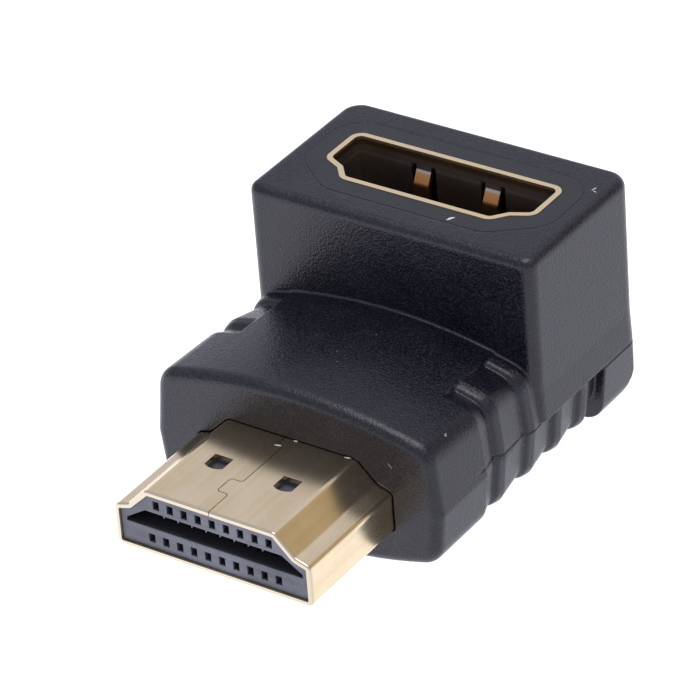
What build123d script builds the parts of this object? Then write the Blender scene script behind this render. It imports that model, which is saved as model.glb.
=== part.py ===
from build123d import *
import os
from math import atan, degrees, radians, tan

# Right angle video adapter: a flat D-shaped plug at the front of a short leg,
# a matching socket in the top of a block, and one moulded elbow round both.
# Millimetres. X is the width, the plug points to -Y, +Z is up. The origin is
# in the middle of the adapter's length, level with the lowest line of its
# underside.

# Overall
overall_length = 31.5
plug_reach = 8.55
body_width = 20.4
parting_z = 5.0

# Leg: the lying half of the elbow. Heights are from the parting line.
crown_front = 5.85
crown_rear = 5.35
shoulder_front = 4.45
shoulder_rear = 3.9
shoulder_below = 3.4
side_draft = 6.5
leg_corner_radius = 1.6
front_edge_radius = 0.7

# Block: the standing half of the elbow
block_depth = 12.0
block_width = 20.3
block_flare = 0.1
block_top = 16.45
block_front_radius = 0.8
block_back_radius = 1.4
block_top_radius = 0.6
flare_height = 2.2
elbow_length = 4.35
elbow_radius = 4.9
elbow_shoulder = 3.95
elbow_corner_radius = 1.5
elbow_lift = 0.06

# Scale-shaped grip ribs on both sides of the bend
head_length = 5.3
first_rib_length = 1.3
rib_pitch_change = -0.2
rib_count = 4
rib_seam = 0.04
rib_drop = 0.36
rib_nose = ((0, 1), (0.08, 0.55), (0.25, 0.25), (0.75, 0))
last_rib_drop = 0.7
rib_inner_x = 7.3

# Sheet metal and clearances
sheet = 0.3
housing_gap = 0.03
exit_gap = 0.05

# Plug shell: an outline with its wide face down, measured outside
plug_width = 13.9
plug_height = 4.45
plug_narrow_width = 9.1
plug_shoulder = 2.8
plug_shelf = (5.9, 3.12)
plug_corner_radius = 0.42
plug_lip_radius = 0.14
plug_floor_z = 3.1
plug_shell_length = 14.0
lock_hole_width = 1.3
lock_hole_length = 1.15
lock_hole_bulge = 0.22
lock_hole_x = 2.45
lock_hole_back = 5.16
seam_width = 0.05
seam_bend = 0.2
seam_tab_length = 1.42
seam_tabs = ((2.05, 0.83), (7.6, 0.45))

# Plug housing, with heights from the plug's wide face
plug_housing_recess = 0.2
slot_depth = 6.9
slot_bottom = 1.72
slot_side_top = 1.98
slot_top = 2.88
slot_half = 6.25
slot_top_half = 4.85
opening_width = 0.45
opening_height = 0.6
upper_opening_z = 3.43
lower_opening_z = 1.0
bridge_length = 1.1
lock_pocket_depth = 0.25
fin_thickness = 0.08
fin_start = 0.03
fin_length = 0.6
fin_drop = 0.17

# Contacts
contact_pitch = 1.0
upper_count = 9
lower_count = 10
contact_width = 0.36
contact_thickness = 0.2
contact_bend = 0.3
contact_gap = 0.04
contact_press = 0.12
tip_recess = 0.45
tip_length = 1.0
spring_run = 1.8
tail_bend_start = 0.15
tail_bend_run = 0.4
tail_length = 1.65

# Socket shell: an outline with its wide face at the back, measured inside
socket_width = 14.4
socket_height = 4.55
socket_narrow_width = 10.3
socket_shoulder = 3.0
socket_shelf = (5.95, 3.6)
socket_corner_radius = 0.45
socket_back_margin = 3.88
socket_shell_length = 9.6
rim_proud = 0.05
socket_sheet = 0.36
spring_x = 2.5
spring_width = 1.05
spring_slot = 0.35
spring_top = 0.95
spring_step = 1.2
spring_length = 5.2
spring_press = 0.45
leg_width = 1.2
leg_x_wide = 5.5
leg_x_narrow = 4.0

# Socket housing, with its tongue measured from the socket's wide face
tongue_from_wide = 1.88
tongue_thickness = 0.98
tongue_width = 12.4
tongue_recess = 2.2
tongue_tip_chamfer = 0.2
contact_top_recess = 0.6
base_height = 3.0
base_lift = 0.45
pad_length = 1.0
pad_depth = 1.6
pad_x = 6.0
foot_length = 1.5

# Circuit board under the socket and behind the plug
board_thickness = 1.0
board_width = 14.0
board_front_gap = 0.1
board_back_margin = 3.1
leg_gap = 0.1

# Inner mould: holds both connectors and the board, and carries the socket's collar
inner_width = 15.8
inner_bottom = 2.3
inner_top = 8.7
inner_front_wall = 1.3
inner_back_wall = 2.1
collar_wall = 1.3
chamber_depth = 1.05
chamber_gap = 0.2
ledge_x = 5.4

# Places that follow from the sizes
mouth_y = -overall_length / 2
back_y = overall_length / 2
head_y = mouth_y + plug_reach
block_front_y = back_y - block_depth
block_mid_y = (block_front_y + back_y) / 2
socket_wide_y = back_y - socket_back_margin
socket_top = block_top + rim_proud
socket_shell_bottom = socket_top - socket_shell_length
housing_back_y = mouth_y + plug_shell_length
slot_mid_z = plug_floor_z + (slot_bottom + slot_top) / 2
board_top = slot_mid_z + board_thickness / 2
board_bottom = slot_mid_z - board_thickness / 2
board_front_y = housing_back_y + board_front_gap
board_back_y = back_y - board_back_margin
base_bottom = board_top + base_lift
base_top = base_bottom + base_height
tongue_back_y = socket_wide_y - tongue_from_wide
tongue_front_y = tongue_back_y - tongue_thickness
tongue_top = block_top - tongue_recess
inner_front_y = head_y + inner_front_wall
inner_back_y = back_y - inner_back_wall
foot_width = block_width + 2 * block_flare
housing_under_z = sheet + housing_gap
rib_span = overall_length - plug_reach - head_length - first_rib_length - elbow_length

os.makedirs("parts", exist_ok=True)


def save(piece, name):
    """Label a finished piece and write its STEP file."""
    piece.part.label = name
    export_step(piece.part, f"parts/{name}.step")


def box_between(low, high, mode=Mode.ADD):
    """Box from its lowest corner to its highest."""
    centre = tuple((a + b) / 2 for a, b in zip(low, high))
    with Locations(centre):
        Box(*[b - a for a, b in zip(low, high)], mode=mode)


def row_x(count):
    """Places of one row of contacts across the width."""
    return [contact_pitch * (i - (count - 1) / 2) for i in range(count)]


def connector_outline(right, corner):
    """D-shaped outline from the points of its right side, listed from the wide face up."""
    left = [(-x, z) for x, z in reversed(right)]
    with BuildSketch() as outline:
        with BuildLine():
            Polyline(*right, *left, close=True)
        make_face()
        fillet(outline.vertices(), corner)
    return outline.sketch


def grown(face, amount):
    """The same outline moved outwards all round, or inwards for a negative amount."""
    with BuildSketch() as result:
        add(face)
        if amount:
            offset(amount=amount)
    return result.sketch


plug_face = connector_outline([(plug_width / 2, 0), (plug_width / 2, plug_shoulder), plug_shelf,
                               (plug_narrow_width / 2, plug_height)], plug_corner_radius)
socket_sides = [(socket_width / 2, 0), (socket_width / 2, socket_shoulder)]
socket_end = (socket_narrow_width / 2, socket_height)
socket_face = connector_outline([*socket_sides, socket_shelf, socket_end], socket_corner_radius)
collar_face = connector_outline([*socket_sides, socket_end], socket_corner_radius)


def plug_plane(y):
    """Plane across the plug at y, with its origin on the plug's wide face."""
    return Plane(origin=(0, y, plug_floor_z), x_dir=(1, 0, 0), z_dir=(0, -1, 0))


def socket_plane(z):
    """Plane across the socket at z, with its origin on the socket's wide face."""
    return Plane(origin=(0, socket_wide_y, z), x_dir=(-1, 0, 0), z_dir=(0, 0, 1))


def plane_above(y):
    """Plane across the leg at y, for the half above the parting line."""
    return Plane(origin=(0, y, parting_z), x_dir=(1, 0, 0), z_dir=(0, -1, 0))


def plane_below(y):
    """Plane across the leg at y, turned over, for the half below the parting line."""
    return Plane(origin=(0, y, parting_z), x_dir=(1, 0, 0), z_dir=(0, 1, 0))


def half_section(half, shoulder, crown, radius):
    """Half of the leg's section: flat on the parting line and crowned away from it."""
    top_half = half - shoulder * tan(radians(side_draft))
    with BuildSketch() as section:
        with BuildLine():
            Polyline((-top_half, shoulder), (-half, 0), (half, 0), (top_half, shoulder))
            ThreePointArc((top_half, shoulder), (0, crown), (-top_half, shoulder))
        make_face()
        fillet(section.vertices().group_by(Axis.Y)[-1], radius)
    return section.sketch


def section_above(y, drop=0):
    """Upper half of the leg's section at y, drawn in by drop at its top and sides."""
    share = (y - head_y) / (block_front_y - head_y)
    shoulder = shoulder_front + share * (shoulder_rear - shoulder_front) - drop
    crown = crown_front + share * (crown_rear - crown_front) - drop
    return half_section(body_width / 2 - drop, shoulder, crown, leg_corner_radius)


def section_below(y, drop=0):
    """Lower half of the leg's section, which is the same at every y, drawn in by drop."""
    return half_section(body_width / 2 - drop, shoulder_below - drop, parting_z - drop,
                        leg_corner_radius)


# Rib stations along the side, from the head's rear edge to the elbow's rounded end
rib_stations = [head_y + head_length, head_y + head_length + first_rib_length]
for rib in range(rib_count):
    change = rib_pitch_change * (rib - (rib_count - 1) / 2)
    rib_stations.append(rib_stations[-1] + rib_span / rib_count + change)
elbow_y = rib_stations[-1]

# The two halves of the leg, above the parting line as far as the block and below it to the elbow
leg_halves = [(plane_above, section_above, block_front_y + block_front_radius),
              (plane_below, section_below, elbow_y)]
leg_forms = []
for plane_at, section_at, end_y in leg_halves:
    with BuildPart() as leg_form:
        for y in (head_y, end_y):
            with BuildSketch(plane_at(y)):
                add(section_at(y))
        loft(ruled=True)
        front_edges = leg_form.faces().sort_by(Axis.Y)[0].edges()
        parting_edge = front_edges.sort_by(lambda edge: abs(edge.center().Z - parting_z))[0]
        fillet(front_edges - [parting_edge], front_edge_radius)
    leg_forms.append(leg_form.part)

# Scales on both sides: behind the first, each swells out with a round nose, then tapers in again.
# The nose is given as places behind its start and the shares of the drop that are left there.
rib_forms = []
for start_y, end_y in zip(rib_stations, rib_stations[1:]):
    nose = ((0, 0),) if start_y == rib_stations[0] else rib_nose
    stations = [(start_y + run, rib_seam + share * (rib_drop - rib_seam)) for run, share in nose]
    stations.append((end_y, last_rib_drop if end_y == elbow_y else rib_drop))
    for plane_at, section_at, _ in leg_halves:
        with BuildPart() as scale:
            for y, drop in stations:
                with BuildSketch(plane_at(y)):
                    add(section_at(y, drop))
            loft(ruled=True)
        rib_forms.append(scale.part)

# Strips along both sides of the leg that the scales take the place of
with BuildPart() as rib_zone:
    for side in (-1, 1):
        inner_x, outer_x = sorted((side * rib_inner_x, side * body_width))
        box_between((inner_x, rib_stations[0], -parting_z), (outer_x, elbow_y, 3 * parting_z))

# Block, flared slightly where it meets the lower half
with BuildPart() as block:
    with BuildSketch(Plane.XY.offset(parting_z)) as block_foot:
        with Locations((0, block_mid_y)):
            Rectangle(foot_width, block_depth)
        fillet(block_foot.vertices().group_by(Axis.Y)[0], block_front_radius + block_flare)
        fillet(block_foot.vertices().group_by(Axis.Y)[-1], block_back_radius + block_flare)
    extrude(amount=flare_height, taper=degrees(atan(block_flare / flare_height)))
    with BuildSketch(Plane.XY.offset(parting_z + flare_height)) as block_plan:
        with Locations((0, block_mid_y)):
            Rectangle(block_width, block_depth - 2 * block_flare)
        fillet(block_plan.vertices().group_by(Axis.Y)[0], block_front_radius)
        fillet(block_plan.vertices().group_by(Axis.Y)[-1], block_back_radius)
    extrude(amount=block_top - parting_z - flare_height)
    fillet(block.faces().sort_by(Axis.Z)[-1].edges(), block_top_radius)

# End of the lower half: the block's own plan, rounded up to the back
with BuildPart() as elbow_end:
    with BuildSketch(plane_below(elbow_y)):
        add(half_section(foot_width / 2, elbow_shoulder, parting_z - elbow_lift,
                         elbow_corner_radius))
    extrude(amount=back_y - elbow_y)
    with BuildSketch(Plane.XY):
        add(block_foot.sketch)
    extrude(amount=parting_z, mode=Mode.INTERSECT)
    with BuildSketch(Plane.YZ) as side_profile:
        with Locations((back_y, 0)):
            Rectangle(2 * block_depth, 2 * parting_z, align=(Align.MAX, Align.MIN))
        fillet(side_profile.vertices().sort_by_distance((back_y, 0))[0], elbow_radius)
    extrude(amount=body_width, both=True, mode=Mode.INTERSECT)

# Space that the inner mould fills: a lying block and the socket's collar
with BuildPart() as inner_form:
    box_between((-inner_width / 2, inner_front_y, inner_bottom),
                (inner_width / 2, inner_back_y, inner_top))
    with BuildSketch(socket_plane(inner_top)):
        add(grown(collar_face, socket_sheet + collar_wall))
    extrude(amount=block_top - inner_top)

with BuildPart() as overmould_body:
    for leg_form in leg_forms:
        add(leg_form)
    add(rib_zone.part, mode=Mode.SUBTRACT)
    for rib_form in rib_forms:
        add(rib_form & rib_zone.part)
    add(elbow_end.part)
    add(block.part)
    add(inner_form.part, mode=Mode.SUBTRACT)
    with BuildSketch(plug_plane(head_y)):
        add(grown(plug_face, exit_gap))
    extrude(amount=-inner_front_wall, mode=Mode.SUBTRACT)
save(overmould_body, "overmould_body")

with BuildPart() as inner_mould:
    add(inner_form.part)
    with BuildSketch(plug_plane(inner_front_y)):
        add(plug_face)
    extrude(amount=inner_front_y - housing_back_y, mode=Mode.SUBTRACT)
    chamber_half = board_width / 2 + chamber_gap
    chamber_back_y = board_back_y + chamber_gap
    box_between((-chamber_half, housing_back_y, board_bottom),
                (chamber_half, chamber_back_y, socket_shell_bottom), Mode.SUBTRACT)
    box_between((-ledge_x, housing_back_y, board_bottom - chamber_depth),
                (ledge_x, chamber_back_y, board_bottom), Mode.SUBTRACT)
    with BuildSketch(socket_plane(socket_shell_bottom)):
        add(grown(socket_face, socket_sheet))
    extrude(amount=block_top - socket_shell_bottom, mode=Mode.SUBTRACT)
save(inner_mould, "inner_mould")


def lock_hole(x):
    """D-shaped hole in the plug's wide faces, straight at the back and bulged to the front."""
    back = mouth_y + lock_hole_back
    front = back - lock_hole_length
    left, right = x - lock_hole_width / 2, x + lock_hole_width / 2
    with BuildSketch() as hole:
        with BuildLine():
            Polyline((left, front), (left, back), (right, back), (right, front))
            ThreePointArc((right, front), (x, front - lock_hole_bulge), (left, front))
        make_face()
    return hole.sketch


with BuildPart() as plug_shell:
    with BuildSketch(plug_plane(mouth_y)):
        add(plug_face)
        add(grown(plug_face, -sheet), mode=Mode.SUBTRACT)
    extrude(amount=-plug_shell_length)
    mouth_edges = plug_shell.faces().sort_by(Axis.Y)[0].outer_wire().edges()
    fillet(mouth_edges, plug_lip_radius)
    with BuildSketch(Plane.XY.offset(plug_floor_z)):
        add(lock_hole(-lock_hole_x))
        add(lock_hole(lock_hole_x))
    extrude(amount=plug_height, mode=Mode.SUBTRACT)
    seam = [(0, mouth_y - sheet)]
    for start, reach in seam_tabs:
        front, back = mouth_y + start, mouth_y + start + seam_tab_length
        seam += [(0, front), (-reach, front), (-reach, back), (0, back)]
    seam.append((0, housing_back_y + sheet))
    with BuildSketch(Plane.XY.offset(plug_floor_z + plug_height / 2)):
        with BuildLine():
            FilletPolyline(*seam, radius=seam_bend)
        trace(line_width=seam_width)
    extrude(amount=plug_height, mode=Mode.SUBTRACT)
save(plug_shell, "plug_shell")

plug_rows = [("upper", upper_count, upper_opening_z, slot_top),
             ("lower", lower_count, lower_opening_z, slot_bottom)]
plug_front_y = mouth_y + plug_housing_recess
slot_back_y = mouth_y + slot_depth

with BuildPart() as plug_housing:
    with BuildSketch(plug_plane(plug_front_y)):
        add(grown(plug_face, -sheet - housing_gap))
    extrude(amount=plug_front_y - housing_back_y)
    with BuildSketch(plug_plane(plug_front_y)):
        with BuildLine():
            Polyline((-slot_half, slot_bottom), (slot_half, slot_bottom),
                     (slot_half, slot_side_top), (slot_top_half, slot_top),
                     (-slot_top_half, slot_top), (-slot_half, slot_side_top), close=True)
        make_face()
    extrude(amount=plug_front_y - slot_back_y, mode=Mode.SUBTRACT)
    for outer_z, inner_z in ((0, housing_under_z + lock_pocket_depth),
                             (plug_height, plug_height - housing_under_z - lock_pocket_depth)):
        with BuildSketch(Plane.XY.offset(plug_floor_z + outer_z)):
            add(lock_hole(-lock_hole_x))
            add(lock_hole(lock_hole_x))
        extrude(amount=inner_z - outer_z, mode=Mode.SUBTRACT)
    run_height = contact_thickness + 2 * contact_gap
    for name, count, opening_z, slot_edge in plug_rows:
        middle = plug_floor_z + opening_z
        edge = plug_floor_z + slot_edge
        for x in row_x(count):
            left, right = x - opening_width / 2, x + opening_width / 2
            box_between((left, plug_front_y, middle - opening_height / 2),
                        (right, slot_back_y, middle + opening_height / 2), Mode.SUBTRACT)
            box_between((left, plug_front_y + bridge_length, min(middle, edge)),
                        (right, slot_back_y, max(middle, edge)), Mode.SUBTRACT)
            box_between((left, slot_back_y, middle - run_height / 2),
                        (right, housing_back_y, middle + run_height / 2), Mode.SUBTRACT)
    fin_front_y = plug_front_y + fin_start
    fin_top = plug_floor_z + slot_top
    for x in row_x(upper_count - 1):
        box_between((x - fin_thickness / 2, fin_front_y, fin_top - fin_drop),
                    (x + fin_thickness / 2, fin_front_y + fin_length, fin_top))
save(plug_housing, "plug_housing")


def strip(x, points, name):
    """One contact: a thin strip bent along a path of (y, z) points at x."""
    with BuildPart() as contact:
        with BuildSketch(Plane.YZ.offset(x - contact_width / 2)):
            with BuildLine():
                FilletPolyline(*points, radius=contact_bend)
            trace(line_width=contact_thickness)
        extrude(amount=contact_width)
    save(contact, name)


half_strip = contact_thickness / 2
tip_y = plug_front_y + tip_recess
press_y = tip_y + tip_length + spring_run
tail_y = housing_back_y + tail_bend_start + tail_bend_run
for name, count, opening_z, slot_edge in plug_rows:
    side = 1 if name == "upper" else -1
    rest_z = plug_floor_z + opening_z
    press_z = plug_floor_z + slot_edge + side * (half_strip - contact_press)
    board_z = slot_mid_z + side * (board_thickness / 2 + half_strip)
    path = [(tip_y, rest_z), (tip_y + tip_length, rest_z), (press_y, press_z),
            (press_y + spring_run, rest_z), (housing_back_y + tail_bend_start, rest_z),
            (tail_y, board_z), (tail_y + tail_length, board_z)]
    for i, x in enumerate(row_x(count)):
        strip(x, path, f"plug_contact_{name}_{i + 1}")

with BuildPart() as circuit_board:
    box_between((-board_width / 2, board_front_y, board_bottom),
                (board_width / 2, board_back_y, board_top))
    for y, leg_x in ((socket_wide_y + socket_sheet / 2, leg_x_wide),
                     (socket_wide_y - socket_height - socket_sheet / 2, leg_x_narrow)):
        with Locations((-leg_x, y, slot_mid_z), (leg_x, y, slot_mid_z)):
            Box(leg_width + 2 * leg_gap, socket_sheet + 2 * leg_gap, board_thickness,
                mode=Mode.SUBTRACT)
save(circuit_board, "circuit_board")

# Socket shell: its springs bend inwards from slots in both wide faces
with BuildPart() as socket_shell:
    with BuildSketch(socket_plane(socket_shell_bottom)):
        add(grown(socket_face, socket_sheet))
        add(socket_face, mode=Mode.SUBTRACT)
    extrude(amount=socket_shell_length)
    spring_high = socket_top - spring_top
    spring_low = spring_high - spring_length
    for wall_y, inward, leg_x in ((socket_wide_y, -1, leg_x_wide),
                                  (socket_wide_y - socket_height, 1, leg_x_narrow)):
        wall_mid = wall_y - inward * socket_sheet / 2
        for x in (-spring_x, spring_x):
            for slot_side in (-1, 1):
                slot_x = x + slot_side * (spring_width + spring_slot) / 2
                with Locations((slot_x, wall_mid, (spring_high + spring_low) / 2)):
                    Box(spring_slot, 2 * socket_sheet, spring_length, mode=Mode.SUBTRACT)
            with Locations((x, wall_mid, (spring_high + spring_low) / 2 - socket_sheet / 2)):
                Box(spring_width, 2 * socket_sheet, spring_length - socket_sheet, mode=Mode.SUBTRACT)
            with BuildSketch(Plane.YZ.offset(x - spring_width / 2)):
                with BuildLine():
                    pressed = wall_mid + inward * spring_press
                    FilletPolyline((wall_mid, spring_high), (wall_mid, spring_high - socket_sheet),
                                   (pressed, spring_high - spring_step),
                                   (pressed + inward * spring_press / 2, spring_low + spring_step),
                                   (pressed, spring_low), radius=contact_bend)
                trace(line_width=socket_sheet)
            extrude(amount=spring_width)
        for x in (-leg_x, leg_x):
            with Locations((x, wall_mid, (board_bottom + socket_shell_bottom) / 2)):
                Box(leg_width, socket_sheet, socket_shell_bottom - board_bottom)
save(socket_shell, "socket_shell")

socket_rows = [("front", upper_count, tongue_front_y, 1), ("rear", lower_count, tongue_back_y, -1)]

with BuildPart() as socket_housing:
    with BuildSketch(socket_plane(base_bottom)):
        add(grown(socket_face, -housing_gap))
    extrude(amount=base_height)
    box_between((-tongue_width / 2, tongue_front_y, base_top),
                (tongue_width / 2, tongue_back_y, tongue_top))
    tip_edges = socket_housing.faces().sort_by(Axis.Z)[-1].edges().filter_by(Axis.X)
    chamfer(tip_edges, tongue_tip_chamfer)
    with Locations((-pad_x, tongue_back_y, board_top + base_lift / 2),
                   (pad_x, tongue_back_y, board_top + base_lift / 2)):
        Box(pad_length, pad_depth, base_lift)
    for name, count, face_y, inward in socket_rows:
        inner_y = face_y + inward * (contact_thickness + contact_gap)
        outer_y = face_y - inward * contact_gap
        for x in row_x(count):
            left = x - contact_width / 2 - contact_gap
            right = x + contact_width / 2 + contact_gap
            box_between((left, min(inner_y, outer_y), base_bottom),
                        (right, max(inner_y, outer_y), tongue_top - contact_top_recess),
                        Mode.SUBTRACT)
save(socket_housing, "socket_housing")

for name, count, face_y, inward in socket_rows:
    strip_y = face_y + inward * half_strip
    foot_z = board_top + half_strip
    path = [(strip_y, tongue_top - contact_top_recess - contact_gap), (strip_y, foot_z),
            (strip_y - inward * foot_length, foot_z)]
    for i, x in enumerate(row_x(count)):
        strip(x, path, f"socket_contact_{name}_{i + 1}")
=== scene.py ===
import bpy, math
from mathutils import Matrix, Vector


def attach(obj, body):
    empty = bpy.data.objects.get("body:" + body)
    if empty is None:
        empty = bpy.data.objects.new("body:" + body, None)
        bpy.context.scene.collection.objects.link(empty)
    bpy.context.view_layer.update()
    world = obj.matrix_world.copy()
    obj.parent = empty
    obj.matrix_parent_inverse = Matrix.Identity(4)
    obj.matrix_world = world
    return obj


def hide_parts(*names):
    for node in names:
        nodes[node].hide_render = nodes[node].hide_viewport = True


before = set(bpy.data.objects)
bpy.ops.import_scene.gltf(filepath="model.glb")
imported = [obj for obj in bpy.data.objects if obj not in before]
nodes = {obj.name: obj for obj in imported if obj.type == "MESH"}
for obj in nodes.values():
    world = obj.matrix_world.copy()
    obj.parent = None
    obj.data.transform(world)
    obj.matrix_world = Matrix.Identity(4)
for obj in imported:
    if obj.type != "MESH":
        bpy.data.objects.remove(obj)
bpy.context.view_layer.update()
mm = 0.001
weldReach = 0.002


def deselectAll():
    bpy.ops.object.select_all(action="DESELECT")


def makeActive(piece):
    deselectAll()
    piece.select_set(True)
    bpy.context.view_layer.objects.active = piece


def mergedCopy(nodeName, newName):
    # a node's mesh is loose triangles, so a copy is merged before it is worked on
    makeActive(nodes[nodeName])
    bpy.ops.object.duplicate()
    piece = bpy.context.active_object
    piece.name = newName
    piece.data.name = newName
    bpy.ops.object.mode_set(mode="EDIT")
    bpy.ops.mesh.select_all(action="SELECT")
    bpy.ops.mesh.remove_doubles(threshold=weldReach * mm)
    bpy.ops.object.mode_set(mode="OBJECT")
    return piece


def setMaterial(piece, material):
    piece.data.materials.clear()
    piece.data.materials.append(material)


# the photograph's viewing angle: places in millimetres, roll in degrees, nearest distance in metres
camera = {"place": (137.079, -188.632, 158.196), "aim": (2.625, -5.178, 14.111),
          "roll": -4.6075, "lens": 245.154, "near": 0.01}


def placeCamera():
    bpy.ops.object.camera_add(location=[v * mm for v in camera["place"]])
    eye = bpy.context.active_object
    eye.name = "photoCamera"
    eye.data.lens = camera["lens"]
    eye.data.clip_start = camera["near"]
    look = Vector(camera["aim"]) - Vector(camera["place"])
    turn = look.to_track_quat("-Z", "Y").to_matrix().to_4x4()
    turn = turn @ turn.Rotation(math.radians(camera["roll"]), 4, "Z")
    eye.rotation_euler = turn.to_euler()
    bpy.context.scene.camera = eye


placeCamera()
print("camera placed")


def newGroup(name, inputs, outputs):
    group = bpy.data.node_groups.new(name, "ShaderNodeTree")
    for label, value in inputs:
        socket = group.interface.new_socket(name=label, in_out="INPUT", socket_type="NodeSocketFloat")
        socket.default_value = value
    for label in outputs:
        group.interface.new_socket(name=label, in_out="OUTPUT", socket_type="NodeSocketFloat")
    start = group.nodes.new("NodeGroupInput")
    end = group.nodes.new("NodeGroupOutput")
    return group, start, end


def newMaterial(name, **settings):
    material = bpy.data.materials.new(name)
    material.use_nodes = True
    shader = material.node_tree.nodes["Principled BSDF"]
    for key, value in settings.items():
        shader.inputs[key.replace("_", " ")].default_value = value
    return material, material.node_tree, shader


def addNode(tree, kind, **settings):
    node = tree.nodes.new(kind)
    for key, value in settings.items():
        if key in node.inputs:
            node.inputs[key].default_value = value
        else:
            setattr(node, key, value)
    return node


def join(tree, source, target):
    tree.links.new(source, target)


def stepMask(tree, source, start, end):
    # 0 before start, 1 after end, soft between
    step = addNode(tree, "ShaderNodeMapRange", interpolation_type="SMOOTHSTEP")
    step.inputs["From Min"].default_value = start
    step.inputs["From Max"].default_value = end
    join(tree, source, step.inputs["Value"])
    return step.outputs["Result"]


def spread(tree, source, low, high):
    # a 0 to 1 value spread between two others
    wide = addNode(tree, "ShaderNodeMapRange")
    wide.inputs["To Min"].default_value = low
    wide.inputs["To Max"].default_value = high
    join(tree, source, wide.inputs["Value"])
    return wide.outputs["Result"]


def calc(tree, operation, first, second=0.0):
    # one sum of two values, each a socket or a number
    node = addNode(tree, "ShaderNodeMath", operation=operation)
    for index, value in enumerate((first, second)):
        if isinstance(value, (int, float)):
            node.inputs[index].default_value = value
        else:
            join(tree, value, node.inputs[index])
    return node.outputs[0]


def product(tree, first, *others):
    for value in others:
        first = calc(tree, "MULTIPLY", first, value)
    return first


def blend(tree, first, second, share):
    # a weighted sum: share of the first value and the rest of the second
    return calc(tree, "ADD", product(tree, first, share), product(tree, second, 1 - share))


def tintBy(tree, mask, under, over):
    # over shows where the mask is 1; either colour is a socket or three numbers
    mix = addNode(tree, "ShaderNodeMix", data_type="RGBA")
    join(tree, mask, mix.inputs[0])
    for index, value in ((6, under), (7, over)):
        if isinstance(value, tuple):
            mix.inputs[index].default_value = (*value, 1)
        else:
            join(tree, value, mix.inputs[index])
    return mix.outputs[2]


def objectPlace(tree):
    place = addNode(tree, "ShaderNodeTexCoord")
    axes = addNode(tree, "ShaderNodeSeparateXYZ")
    join(tree, place.outputs["Object"], axes.inputs[0])
    return place.outputs["Object"], axes.outputs


def noiseAt(tree, vector, scale, detail=2.0, stretch=None):
    if stretch:
        mapping = addNode(tree, "ShaderNodeMapping")
        mapping.inputs["Scale"].default_value = stretch
        join(tree, vector, mapping.inputs["Vector"])
        vector = mapping.outputs["Vector"]
    noise = addNode(tree, "ShaderNodeTexNoise", Scale=scale, Detail=detail)
    join(tree, vector, noise.inputs["Vector"])
    return noise.outputs["Fac"]


def bumpFrom(tree, shader, height, distance):
    bump = addNode(tree, "ShaderNodeBump", Strength=1.0, Distance=distance)
    join(tree, height, bump.inputs["Height"])
    join(tree, bump.outputs["Normal"], shader.inputs["Normal"])


# white lit floor, pale sky and one large soft light overhead, in metres
studio = {"floorSize": 3.0, "floorColor": 0.1, "floorRoughness": 0.9, "floorSpecular": 0.1,
          "floorTint": (0.97, 0.98, 1.08), "floorGlow": (1.36, 1.02), "glowFall": (-0.004, 0.014),
          "skyColor": (0.60, 0.61, 0.70), "skyStrength": 1.0,
          "warmColor": (0.47, 0.40, 0.30), "warmSide": (0.571, 0.681, 0.460), "warmReach": (0.89, 0.975),
          "topPlace": (0.05, 0.05, 0.9), "topPower": 4.6, "topSize": 0.7}


def buildSky():
    world = bpy.data.worlds.new("paleSky")
    bpy.context.scene.world = world
    world.use_nodes = True
    tree = world.node_tree
    sky = tree.nodes["Background"]
    sky.inputs["Strength"].default_value = studio["skyStrength"]
    # one warmer, dimmer stretch of wall behind on the right
    way = addNode(tree, "ShaderNodeTexCoord")
    toward = addNode(tree, "ShaderNodeVectorMath", operation="DOT_PRODUCT")
    toward.inputs[1].default_value = studio["warmSide"]
    join(tree, way.outputs["Generated"], toward.inputs[0])
    warm = stepMask(tree, toward.outputs["Value"], *studio["warmReach"])
    join(tree, tintBy(tree, warm, studio["skyColor"], studio["warmColor"]), sky.inputs["Color"])


def buildStudio():
    bpy.ops.mesh.primitive_plane_add(size=studio["floorSize"])
    floor = bpy.context.active_object
    floor.name = "studioFloor"
    paint, tree, shader = newMaterial("floorPaint", Base_Color=(*[studio["floorColor"]] * 3, 1),
                                      Roughness=studio["floorRoughness"],
                                      Specular_IOR_Level=studio["floorSpecular"], Emission_Strength=1.0)
    # the lit floor is dimmer on the right
    axes = objectPlace(tree)[1]
    fall = stepMask(tree, axes["X"], *studio["glowFall"])
    near, far = (tuple(part * glow for part in studio["floorTint"]) for glow in studio["floorGlow"])
    join(tree, tintBy(tree, fall, near, far), shader.inputs["Emission Color"])
    setMaterial(floor, paint)
    bpy.ops.object.light_add(type="AREA", location=studio["topPlace"])
    top = bpy.context.active_object
    top.name = "softTop"
    top.data.size = studio["topSize"]
    top.data.energy = studio["topPower"]


buildSky()
buildStudio()
bpy.context.scene.view_settings.view_transform = "Standard"
print("studio built")

# spark-eroded grain of the mould; a mask's span says where it starts and where it is full
grainLook = {"size": 0.00014, "detail": 2.0, "roughness": 0.6, "pitShare": 1.1, "speckleSpan": (0.42, 0.7),
             "cloudScale": 300.0, "cloudDetail": 3.0, "cloudSpan": (0.3, 0.7)}


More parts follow.
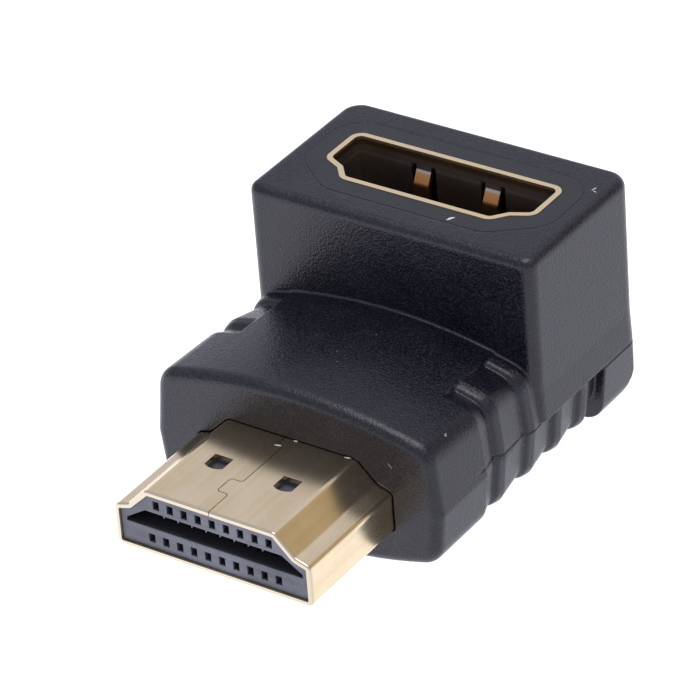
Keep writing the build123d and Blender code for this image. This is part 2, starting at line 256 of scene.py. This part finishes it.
def mouldGrainGroup():
    # pits and fine noise for the height, speckle for the colour, and slow clouds
    look = grainLook
    group, start, end = newGroup("mouldGrain", [("Grain Size", look["size"])], ["Height", "Speckle", "Cloud"])
    place = objectPlace(group)[0]
    scale = calc(group, "DIVIDE", 1.0, start.outputs["Grain Size"])
    fine = addNode(group, "ShaderNodeTexNoise", Detail=look["detail"], Roughness=look["roughness"])
    pits = addNode(group, "ShaderNodeTexVoronoi", feature="SMOOTH_F1")
    for texture in (fine, pits):
        join(group, place, texture.inputs["Vector"])
        join(group, scale, texture.inputs["Scale"])
    deep = product(group, pits.outputs["Distance"], look["pitShare"])
    clouds = noiseAt(group, place, look["cloudScale"], look["cloudDetail"])
    join(group, calc(group, "ADD", deep, fine.outputs["Fac"]), end.inputs["Height"])
    join(group, stepMask(group, fine.outputs["Fac"], *look["speckleSpan"]), end.inputs["Speckle"])
    join(group, stepMask(group, clouds, *look["cloudSpan"]), end.inputs["Cloud"])
    return group


mouldGrain = mouldGrainGroup()


def plasticMaterial(name, look):
    # mottled colour and roughness with the mould's grain
    material, tree, shader = newMaterial(name)
    grain = addNode(tree, "ShaderNodeGroup", node_tree=mouldGrain)
    grain.inputs["Grain Size"].default_value = look["grain"]
    mottle = blend(tree, grain.outputs["Speckle"], grain.outputs["Cloud"], look["speckle"])
    color = tintBy(tree, mottle, look["dark"], look["light"])
    join(tree, color, shader.inputs["Base Color"])
    join(tree, spread(tree, mottle, *look["roughness"]), shader.inputs["Roughness"])
    bumpFrom(tree, shader, grain.outputs["Height"], look["bump"])
    return material, tree, shader, color, grain.outputs["Height"]


# the black moulding, with the places of its parting line in metres
blackMould = {"dark": (0.0, 0.0, 0.004), "light": (0.019, 0.018, 0.029), "speckle": 0.8,
              "roughness": (0.27, 0.38), "grain": 0.00013, "bump": 0.000016,
              "seamColor": (0.0008, 0.0008, 0.001), "seamHeight": 0.005, "seamFrontHeight": 0.0056,
              "seamBend": 0.0045, "seamFront": -0.0025, "seamEase": (-0.0006, 0.0004),
              "seamSides": (0.0085, 0.009), "seamBack": (0.0148, 0.0152), "seamWidth": 0.0001,
              "seamCore": 0.3, "seamDepth": 3.0, "dashScale": 330.0, "dashSpan": (0.35, 0.55),
              "dashFaint": 0.35}


def overmouldMaterial():
    # the parting line is darker, and fades in and out along both sides and the back
    look = blackMould
    material, tree, shader, color, height = plasticMaterial("overmouldPlastic", look)
    place, axes = objectPlace(tree)
    rise = addNode(tree, "ShaderNodeMapRange")
    rise.inputs["From Min"].default_value = look["seamFront"]
    rise.inputs["From Max"].default_value = look["seamBend"]
    rise.inputs["To Min"].default_value = look["seamFrontHeight"]
    rise.inputs["To Max"].default_value = look["seamHeight"]
    join(tree, axes["Y"], rise.inputs["Value"])
    away = calc(tree, "ABSOLUTE", calc(tree, "SUBTRACT", axes["Z"], rise.outputs["Result"]))
    line = stepMask(tree, away, look["seamWidth"], look["seamWidth"] * look["seamCore"])
    sides = stepMask(tree, calc(tree, "ABSOLUTE", axes["X"]), *look["seamSides"])
    outer = calc(tree, "MAXIMUM", sides, stepMask(tree, axes["Y"], *look["seamBack"]))
    behindHead = stepMask(tree, axes["Y"], *(look["seamFront"] + ease for ease in look["seamEase"]))
    dashes = stepMask(tree, noiseAt(tree, place, look["dashScale"]), *look["dashSpan"])
    seam = product(tree, line, outer, behindHead, spread(tree, dashes, look["dashFaint"], 1.0))
    join(tree, tintBy(tree, seam, color, look["seamColor"]), shader.inputs["Base Color"])
    grooved = calc(tree, "SUBTRACT", height, product(tree, seam, look["seamDepth"]))
    bumpFrom(tree, shader, grooved, look["bump"])
    return material


collarBlack = {"dark": (0.006, 0.0062, 0.0085), "light": (0.016, 0.0165, 0.022), "speckle": 0.6,
               "roughness": (0.26, 0.34), "grain": 0.00018, "bump": 0.000006}
socketBlack = {"dark": (0.006, 0.006, 0.007), "light": (0.02, 0.02, 0.022), "speckle": 0.4,
               "roughness": (0.35, 0.45), "grain": 0.0002, "bump": 0.000003}
boardResist = {"dark": (0.012, 0.08, 0.03), "light": (0.02, 0.13, 0.045), "speckle": 0.3,
               "roughness": (0.3, 0.42), "grain": 0.0003, "bump": 0.000003}
overmouldPlastic = overmouldMaterial()
collarPlastic = plasticMaterial("collarPlastic", collarBlack)[0]
insulatorBlack = plasticMaterial("insulatorBlack", socketBlack)[0]
boardGreen = plasticMaterial("boardGreen", boardResist)[0]

# the insulator in the plug's mouth: its pale grey front is partly a painted reflection of the floor, and its
# darker parts are painted shade; its front face stands at face, in metres
plugInsulator = {"dark": (0.072, 0.077, 0.094), "light": (0.19, 0.195, 0.235), "speckle": 0.25,
                 "roughness": (0.35, 0.5), "grain": 0.0002, "bump": 0.000003,
                 "streaks": (30.0, 1.0, 1500.0), "streakScale": 1.0, "streakDetail": 3.0,
                 "streakSpan": (0.4, 0.62), "streakShare": 0.7, "shade": (0.042, 0.039, 0.047),
                 "face": -0.01555, "shadeReach": (0.00003, 0.00016), "leftShadeSpan": (-0.0068, 0.001), "leftShadeShare": 0.6,
                 "backTint": (0.07, 0.07, 0.085), "back": (-0.0135, -0.0125)}


def insulatorMaterial():
    # pale streaky front face, partly a painted reflection; painted shade makes it almost black behind the
    # face, where the real one sits in shadow
    look = plugInsulator
    material, tree, shader, color = plasticMaterial("insulatorShadeAndSheen", look)[:4]
    place, axes = objectPlace(tree)
    streaks = noiseAt(tree, place, look["streakScale"], look["streakDetail"], look["streaks"])
    streaks = product(tree, stepMask(tree, streaks, *look["streakSpan"]), look["streakShare"])
    streaked = tintBy(tree, streaks, color, look["light"])
    # painted shade: behind the front face the colour turns to the shade colour
    inside = stepMask(tree, axes["Y"], *(look["face"] + reach for reach in look["shadeReach"]))
    # painted shade: the left end of the face is darkened towards the shade colour
    lit = spread(tree, stepMask(tree, axes["X"], *look["leftShadeSpan"]), look["leftShadeShare"], 1.0)
    leftEndShaded = tintBy(tree, lit, look["shade"], streaked)
    shaded = tintBy(tree, inside, leftEndShaded, look["shade"])
    back = stepMask(tree, axes["Y"], *look["back"])
    join(tree, tintBy(tree, back, shaded, look["backTint"]), shader.inputs["Base Color"])
    return material


insulatorShadeAndSheen = insulatorMaterial()

goldPlate = {"color": (0.92, 0.76, 0.52), "deep": (0.85, 0.68, 0.43), "roughness": (0.16, 0.24),
             "drawnLines": 9000.0, "lineStretch": 0.012, "drawnBands": 2600.0, "bandStretch": 0.006,
             "cloudScale": 420.0, "cloudDetail": 3.0, "cloudShare": 0.5, "toneSpan": (0.38, 0.62),
             "bump": 0.0000009}


def platedMaterial(name, look, along):
    # thin lines drawn along the sheet, with faint cloudiness in the plating
    material, tree, shader = newMaterial(name, Metallic=1.0)
    place, axes = objectPlace(tree)

    def drawn(scale, stretch):
        return noiseAt(tree, place, scale, stretch=[stretch if axis == along else 1.0 for axis in range(3)])

    lines = drawn(look["drawnLines"], look["lineStretch"])
    bands = drawn(look["drawnBands"], look["bandStretch"])
    clouds = noiseAt(tree, place, look["cloudScale"], look["cloudDetail"])
    tone = stepMask(tree, blend(tree, clouds, bands, look["cloudShare"]), *look["toneSpan"])
    color = tintBy(tree, tone, look["deep"], look["color"])
    join(tree, color, shader.inputs["Base Color"])
    join(tree, spread(tree, lines, *look["roughness"]), shader.inputs["Roughness"])
    bumpFrom(tree, shader, lines, look["bump"])
    return material, tree, shader, color, axes


# the plug's sheet, with a painted highlight on its rolled front edge, in metres
plugGold = {**goldPlate, "lipHighlight": (0.66, 0.58, 0.43), "lipHighlightSpan": (-0.01552, -0.01563)}


def plugMaterial():
    # painted highlight: the front edge of the sheet is tinted paler
    material, tree, shader, color, axes = platedMaterial("plugPlate", plugGold, 1)
    lipHighlight = stepMask(tree, axes["Y"], *plugGold["lipHighlightSpan"])
    join(tree, tintBy(tree, lipHighlight, color, plugGold["lipHighlight"]), shader.inputs["Base Color"])
    return material


# the socket's sheet: heights of the rim, of the painted shade under the rim's bend and of a band, and the
# springs' place off both walls
socketGold = {**goldPlate, "roughness": (0.28, 0.36), "inside": (0.55, 0.47, 0.42),
              "rim": (0.92, 0.73, 0.46), "rimSpan": (0.01625, 0.01638),
              "foldShade": (0.34, 0.22, 0.11), "foldShadeSpan": (0.0158, 0.0161),
              "band": (0.75, 0.65, 0.55), "bandHeight": 0.0154, "bandSpan": (0.00018, 0.000084),
              "spring": (0.62, 0.33, 0.13), "springSpan": (0.0034, 0.0033),
              "wideWall": 0.01187, "narrowWall": 0.00732, "wallSpan": (0.00008, 0.00012)}


def socketMaterial():
    # pale rim over painted shade under its bend, painted shade over the walls below with a paler band across
    # them, and warmer springs that stand off the walls
    look = socketGold
    material, tree, shader, _, axes = platedMaterial("socketPlate", look, 2)
    rim = stepMask(tree, axes["Z"], *look["rimSpan"])
    offWide = stepMask(tree, axes["Y"], *(look["wideWall"] - clear for clear in look["wallSpan"]))
    offNarrow = stepMask(tree, axes["Y"], *(look["narrowWall"] + clear for clear in look["wallSpan"]))
    middle = stepMask(tree, calc(tree, "ABSOLUTE", axes["X"]), *look["springSpan"])
    spring = product(tree, offWide, offNarrow, middle)
    away = calc(tree, "ABSOLUTE", calc(tree, "SUBTRACT", axes["Z"], look["bandHeight"]))
    band = stepMask(tree, away, *look["bandSpan"])
    # painted shade over the walls below the rim, with a paler band
    shadedWalls = tintBy(tree, band, look["inside"], look["band"])
    sprung = tintBy(tree, spring, shadedWalls, look["spring"])
    # painted shade just under the rim
    foldShaded = tintBy(tree, stepMask(tree, axes["Z"], *look["foldShadeSpan"]), sprung, look["foldShade"])
    join(tree, tintBy(tree, rim, foldShaded, look["rim"]), shader.inputs["Base Color"])
    return material


contactGold = {**goldPlate, "color": (0.86, 0.62, 0.30), "deep": (0.78, 0.52, 0.22)}
plugPlate = plugMaterial()
socketPlate = socketMaterial()
contactPlate = platedMaterial("contactPlate", contactGold, 1)[0]
print("materials made")

# the overmould's form with its edges worn slightly round, in millimetres
skin = {"voxel": 0.08, "smoothTurns": 3, "smoothStep": 0.5, "keep": 0.16,
        "collarX": 9.2, "collarFront": 5.0, "collarBack": 14.2, "collarBottom": 15.9, "collarOverlap": 0.08,
        "grooveWidth": 0.11, "grooveDepth": 0.045, "grooveX": 8.7, "grooveBack": 15.0}


def cutPartingLine(piece):
    # the mould's parting line: a fine groove along both sides and the back, higher towards the head
    bend, front = blackMould["seamBend"], blackMould["seamFront"]
    lift = blackMould["seamFrontHeight"] - blackMould["seamHeight"]
    ways = [vertex.normal.copy() for vertex in piece.data.vertices]
    for vertex, way in zip(piece.data.vertices, ways):
        x, y, z = vertex.co
        inner = abs(x) < skin["grooveX"] * mm and y < skin["grooveBack"] * mm
        if inner or y < front:
            continue
        height = blackMould["seamHeight"] + lift * max(0.0, (bend - y) / (bend - front))
        near = 1 - abs(z - height) / (skin["grooveWidth"] * mm)
        if near > 0:
            vertex.co -= way * near * skin["grooveDepth"] * mm


def nearCollar(place):
    x, y, z = place / mm
    beside = abs(x) < skin["collarX"] and skin["collarFront"] < y < skin["collarBack"]
    return beside and z > skin["collarBottom"]


def overmouldSkin():
    piece = mergedCopy("overmould_body", "overmouldSkin")
    remesh = piece.modifiers.new("remesh", "REMESH")
    remesh.mode = "VOXEL"
    remesh.voxel_size = skin["voxel"] * mm
    bpy.ops.object.modifier_apply(modifier="remesh")
    smooth = piece.modifiers.new("smooth", "SMOOTH")
    smooth.factor = skin["smoothStep"]
    smooth.iterations = skin["smoothTurns"]
    # the edge round the collar stays crisp, and reaches a little way into it
    worn = piece.vertex_groups.new(name="worn")
    kept = [vertex.index for vertex in piece.data.vertices if nearCollar(vertex.co)]
    worn.add(range(len(piece.data.vertices)), 1.0, "REPLACE")
    worn.add(kept, 0.0, "REPLACE")
    smooth.vertex_group = "worn"
    bpy.ops.object.modifier_apply(modifier="smooth")
    ways = [piece.data.vertices[index].normal.copy() for index in kept]
    for index, way in zip(kept, ways):
        piece.data.vertices[index].co += Vector((way.x, way.y, 0.0)) * skin["collarOverlap"] * mm
    cutPartingLine(piece)
    thin = piece.modifiers.new("thin", "DECIMATE")
    thin.ratio = skin["keep"]
    bpy.ops.object.modifier_apply(modifier="thin")
    piece.vertex_groups.remove(piece.vertex_groups["worn"])
    bpy.ops.object.shade_smooth()
    setMaterial(piece, overmouldPlastic)
    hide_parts("overmould_body")
    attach(piece, "root")
    print("overmould skin:", len(piece.data.polygons), "faces")
    return piece


skinPiece = overmouldSkin()

# specks of flash and dust, in millimetres: each one's start, the way from there to the skin, or
# None where it starts on its surface, then its length, width and turn in degrees; the colour
# spans are in metres
specks = {"topColor": 0.85, "color": 0.22, "grainColor": 0.1, "grainScale": 9000.0, "grainShare": 0.4,
          "roughness": 0.6, "height": 0.05, "uneven": 0.22, "wave": 7.3, "phase": 40,
          "topSpan": (0.0160, 0.0164), "plugTopSpan": (0.0077, 0.0076), "plugExitSpan": (-0.0072, -0.0073),
          "list": [((3.19, 6.14, 16.45), None, 0.55, 0.2, 62),
                   ((-0.34, -8.12, 7.55), None, 0.42, 0.12, 15),
                   ((0.35, -7.28, 7.56), None, 0.3, 0.1, 8),
                   ((4.05, -7.28, 7.56), None, 0.4, 0.1, 12),
                   ((9.02, 12.95, 17), (0, 0, -1), 0.45, 0.08, 75),
                   ((9.2, 12.72, 17), (0, 0, -1), 0.3, 0.07, -15),
                   ((9.3, -4.7, 12), (0, 0, -1), 0.26, 0.2, 20),
                   ((6.95, -9, 7.85), (0, 1, 0), 0.5, 0.07, -45),
                   ((-0.1, -1.84, 12), (0, 0, -1), 0.09, 0.08, 0),
                   ((0.57, -2.84, 12), (0, 0, -1), 0.07, 0.07, 0),
                   ((0.8, 1.0, 12), (0, 0, -1), 0.07, 0.06, 0)]}


def speckMaterial():
    # flecks on the top and on the plug's gold are paler
    look = specks
    material, tree, shader = newMaterial("paleSpeck", Roughness=look["roughness"])
    place, axes = objectPlace(tree)
    onTop = stepMask(tree, axes["Z"], *look["topSpan"])
    onPlug = product(tree, stepMask(tree, axes["Z"], *look["plugTopSpan"]),
                     stepMask(tree, axes["Y"], *look["plugExitSpan"]))
    pale, plain, dark = ((look[key],) * 3 for key in ("topColor", "color", "grainColor"))
    tone = tintBy(tree, calc(tree, "MAXIMUM", onTop, onPlug), plain, pale)
    grains = spread(tree, noiseAt(tree, place, look["grainScale"]), 0.0, look["grainShare"])
    join(tree, tintBy(tree, grains, tone, dark), shader.inputs["Base Color"])
    return material


def mouldSpecks(body):
    pieces = []
    for start, way, length, width, turn in specks["list"]:
        point, normal = Vector(start) * mm, Vector((0, 0, 1))
        if way:
            _, point, normal, _ = body.ray_cast(point, Vector(way))
        bpy.ops.mesh.primitive_ico_sphere_add(subdivisions=2, radius=0.5)
        speck = bpy.context.active_object
        for index, vertex in enumerate(speck.data.vertices):
            vertex.co *= 1 + specks["uneven"] * math.sin(specks["wave"] * index + length * specks["phase"])
        lie = normal.to_track_quat("Z", "Y").to_matrix().to_4x4()
        lie = lie @ Matrix.Rotation(math.radians(turn), 4, "Z")
        size = Matrix.Diagonal((length * mm, width * mm, specks["height"] * mm, 1))
        speck.data.transform(Matrix.Translation(point) @ lie @ size)
        pieces.append(speck)
    makeActive(pieces[0])
    for speck in pieces:
        speck.select_set(True)
    bpy.ops.object.join()
    bpy.ops.object.shade_smooth()
    piece = bpy.context.active_object
    piece.name = "mouldSpecks"
    setMaterial(piece, speckMaterial())
    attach(piece, "root")
    print("specks:", len(pieces))


mouldSpecks(skinPiece)

# finishes of the nodes that keep their own form
finishes = {"inner_mould": collarPlastic, "plug_shell": plugPlate, "socket_shell": socketPlate,
            "plug_housing": insulatorShadeAndSheen, "socket_housing": insulatorBlack, "circuit_board": boardGreen}
for name, node in nodes.items():
    if name in finishes:
        setMaterial(node, finishes[name])
    elif "contact" in name:
        setMaterial(node, contactPlate)
print("finishes given")
